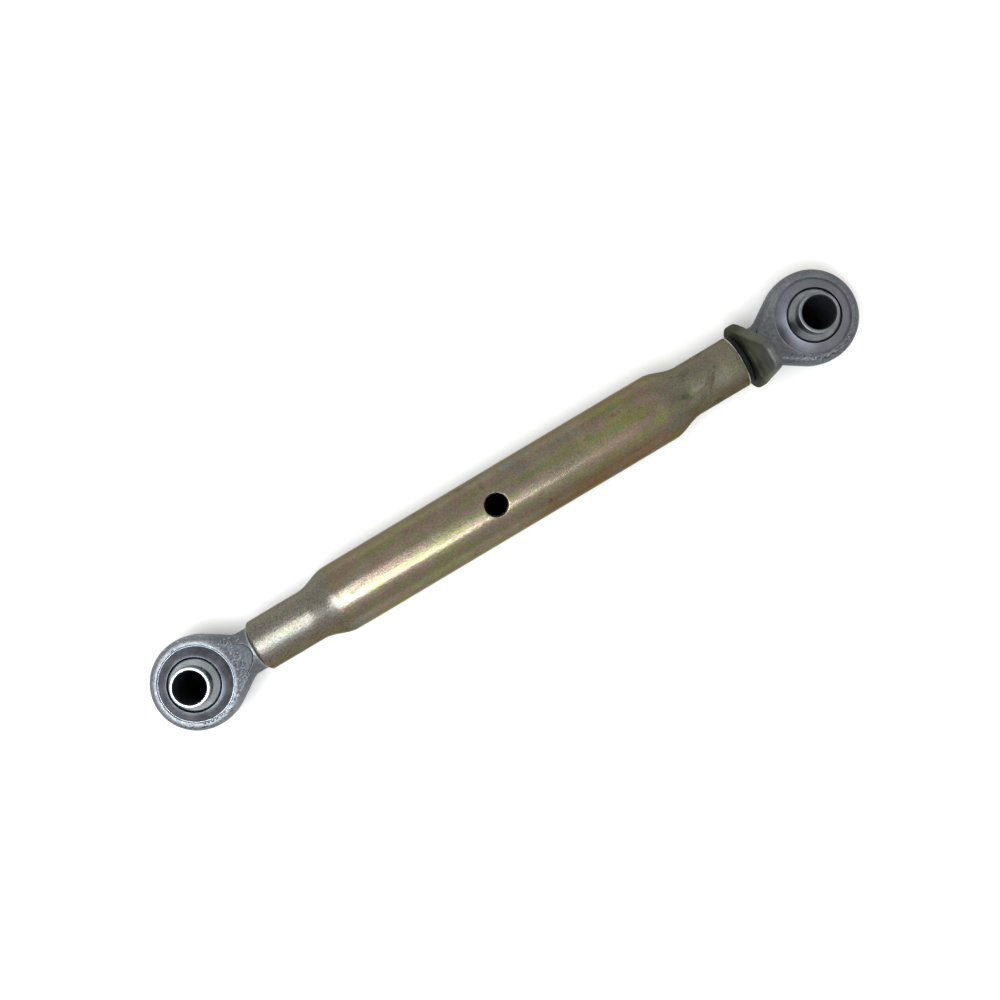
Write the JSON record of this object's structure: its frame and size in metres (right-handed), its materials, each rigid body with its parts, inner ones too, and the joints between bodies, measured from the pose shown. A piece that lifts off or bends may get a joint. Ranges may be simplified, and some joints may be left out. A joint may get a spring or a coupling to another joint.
{
  "type": "tractor top link",
  "caption": "Turnbuckle link for a three-point hitch: ball ends on opposite-hand threads in a swaged tube barrel, with a lever lock nut.",
  "frame": {"origin": "middle of the bounding box on the surface that the link lies on", "axes": "+X along the link towards the lock nut end, +Z along the pin bores and up, +Y across the link"},
  "size_m": [0.4758, 0.056, 0.0814],
  "materials": {
    "yellow_zinc_steel": "satin yellow zinc with faint rainbow streaks",
    "forged_zinc_steel": "bright zinc over a forged skin",
    "machined_zinc_steel": "satin machined zinc",
    "ball_zinc_steel": "satin machined zinc, bright on the sleeve ends",
    "olive_zinc_steel": "dull olive zinc over a cast skin",
    "black_rubber": "matt black"
  },
  "bodies": {
    "right_end": {"right_eye_forging": "forged_zinc_steel", "right_front_seat_ring": "machined_zinc_steel", "right_rear_seat_ring": "machined_zinc_steel"},
    "seal_ring": {"seal_ring": "black_rubber"},
    "barrel": {"barrel_tube": "yellow_zinc_steel"},
    "left_end": {"left_eye_forging": "forged_zinc_steel", "left_front_seat_ring": "machined_zinc_steel", "left_rear_seat_ring": "machined_zinc_steel"},
    "lock_nut": {"lock_nut": "olive_zinc_steel"},
    "left_ball": {"left_ball": "ball_zinc_steel"},
    "right_ball": {"right_ball": "ball_zinc_steel"}
  },
  "joints": [
    {"name": "seal_ring_travel", "type": "slide", "parent": "right_end", "child": "seal_ring", "axis": [-1, 0, 0], "range_m": [0, 0.09]},
    {"name": "barrel_turn", "type": "hinge", "parent": "seal_ring", "child": "barrel", "pos_m": [0.15995, 0, 0.02225], "axis": [-1, 0, 0], "range_deg": [0, 12960]},
    {"name": "left_end_travel", "type": "slide", "parent": "right_end", "child": "left_end", "axis": [-1, 0, 0], "range_m": [0, 0.18]},
    {"name": "lock_nut_turn", "type": "hinge", "parent": "right_end", "child": "lock_nut", "pos_m": [0.16325, 0, 0.02225], "axis": [1, 0, 0], "range_deg": [-110, 110]},
    {"name": "left_ball_tilt", "type": "hinge", "parent": "left_end", "child": "left_ball", "pos_m": [-0.20995, 0, 0.02225], "axis": [0, 1, 0], "range_deg": [-16, 16]},
    {"name": "right_ball_tilt", "type": "hinge", "parent": "right_end", "child": "right_ball", "pos_m": [0.20995, 0, 0.02225], "axis": [0, 1, 0], "range_deg": [-16, 16]}
  ],
  "couplings": [
    {"joint": "seal_ring_travel", "follows": "barrel_turn", "m_per_rad": 0.00039789},
    {"joint": "left_end_travel", "follows": "barrel_turn", "m_per_rad": 0.00079577}
  ]
}
